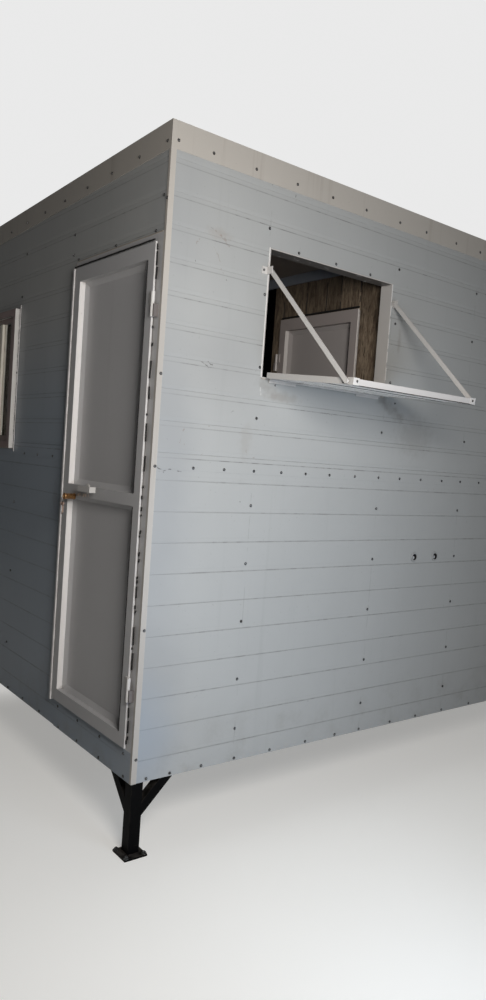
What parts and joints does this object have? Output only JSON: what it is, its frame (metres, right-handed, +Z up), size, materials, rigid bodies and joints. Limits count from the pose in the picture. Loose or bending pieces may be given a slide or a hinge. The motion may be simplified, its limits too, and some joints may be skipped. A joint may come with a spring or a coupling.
{
  "type": "portable site cabin",
  "caption": "Steel-framed cabin on legs with grooved pale grey cladding, a panelled side door, a side window, a serving hatch whose flap hangs open on two stays, and an inner door.",
  "frame": {"origin": "Centre of the overall box on the ground, with the flap at rest", "axes": "+X along the hatch wall away from the entrance door, -Y out of the hatch wall, +Z up"},
  "size_m": [3.738, 2.978, 2.8201],
  "materials": {
    "steel_frame": "black paint, dusty and scratched",
    "deck_board": "worn board",
    "cladding": "pale grey coated sheet, grooved, dusty",
    "timber_lining": "dark brown wood-grain board with upright grooves",
    "cream_flashing": "cream coated folded sheet",
    "galvanised": "galvanised",
    "roof_steel": "blue-grey primer",
    "ceiling_board": "dark board",
    "white_joinery": "white satin coating",
    "white_metal": "white satin coating",
    "brass_lock": "worn",
    "window_glass": "clear, dusty",
    "grey_plastic": "dark grey"
  },
  "bodies": {
    "cabin_body": {"floor_beams": "steel_frame", "floor_joists": "steel_frame", "floor_deck": "deck_board", "corner_posts": "steel_frame", "leg_front_left": "steel_frame", "leg_front_right": "steel_frame", "leg_back_left": "steel_frame", "leg_back_right": "steel_frame", "hatch_wall_left": "cladding", "hatch_wall_right": "cladding", "hatch_wall_below": "cladding", "hatch_wall_above": "cladding", "door_wall_over_door": "cladding", "door_wall_middle": "cladding", "door_wall_below_window": "cladding", "door_wall_above_window": "cladding", "door_wall_back": "cladding", "door_apron": "cladding", "back_wall": "cladding", "end_wall": "cladding", "lining_boards": "timber_lining", "corner_trims": "cream_flashing", "fascia": "cream_flashing", "roof_sheet": "galvanised", "roof_beams": "roof_steel", "ceiling": "ceiling_board", "door_frame": "white_joinery", "door_hinges": "white_metal", "window_frame": "white_joinery", "window_sashes": "white_joinery", "window_glass": "window_glass", "hatch_lining_frame": "white_joinery", "flap_hinge": "white_metal", "stay_brackets": "white_metal", "partition_near": "timber_lining", "partition_far": "timber_lining", "partition_over": "timber_lining", "partition_post": "steel_frame", "inner_door_frame": "white_joinery", "inner_door_hinges": "white_metal", "pipe_sleeves": "grey_plastic"},
    "entrance_door_body": {"door_leaf": "white_joinery", "door_panels": "white_joinery", "door_hinge_leaves": "white_metal", "door_lever": "white_metal", "door_lock": "brass_lock"},
    "inner_door_body": {"inner_door_leaf": "white_joinery", "inner_door_panels": "white_joinery", "inner_door_hinge_leaves": "white_metal", "inner_door_lever": "white_metal"},
    "flap_body": {"flap_rim_frame": "white_joinery", "flap_panel": "cladding", "flap_strap": "white_metal", "flap_brackets": "white_metal"},
    "left_stay_body": {"stay_left": "white_metal"},
    "right_stay_body": {"stay_right": "white_metal"}
  },
  "joints": [
    {"name": "entrance_door", "type": "hinge", "parent": "cabin_body", "child": "entrance_door_body", "pos_m": [-1.823, -0.93061, 0.43], "axis": [0, 0, 1], "range_deg": [0, 110]},
    {"name": "inner_door", "type": "hinge", "parent": "cabin_body", "child": "inner_door_body", "pos_m": [-0.521, -0.10761, 0.43], "axis": [0, 0, -1], "range_deg": [0, 95]},
    {"name": "hatch_flap", "type": "hinge", "parent": "cabin_body", "child": "flap_body", "pos_m": [-0.929, -0.97511, 1.926], "axis": [-1, 0, 0], "range_deg": [0, 95]},
    {"name": "left_stay", "type": "hinge", "parent": "cabin_body", "child": "left_stay_body", "pos_m": [-1.308, -0.98561, 2.365], "axis": [1, 0, 0], "range_deg": [0, 45.69]},
    {"name": "right_stay", "type": "hinge", "parent": "cabin_body", "child": "right_stay_body", "pos_m": [-0.55, -0.98561, 2.365], "axis": [1, 0, 0], "range_deg": [0, 45.69]}
  ],
  "couplings": [
    {"joint": "left_stay", "follows": "hatch_flap", "ratio": 0.4804},
    {"joint": "right_stay", "follows": "hatch_flap", "ratio": 0.4804}
  ]
}
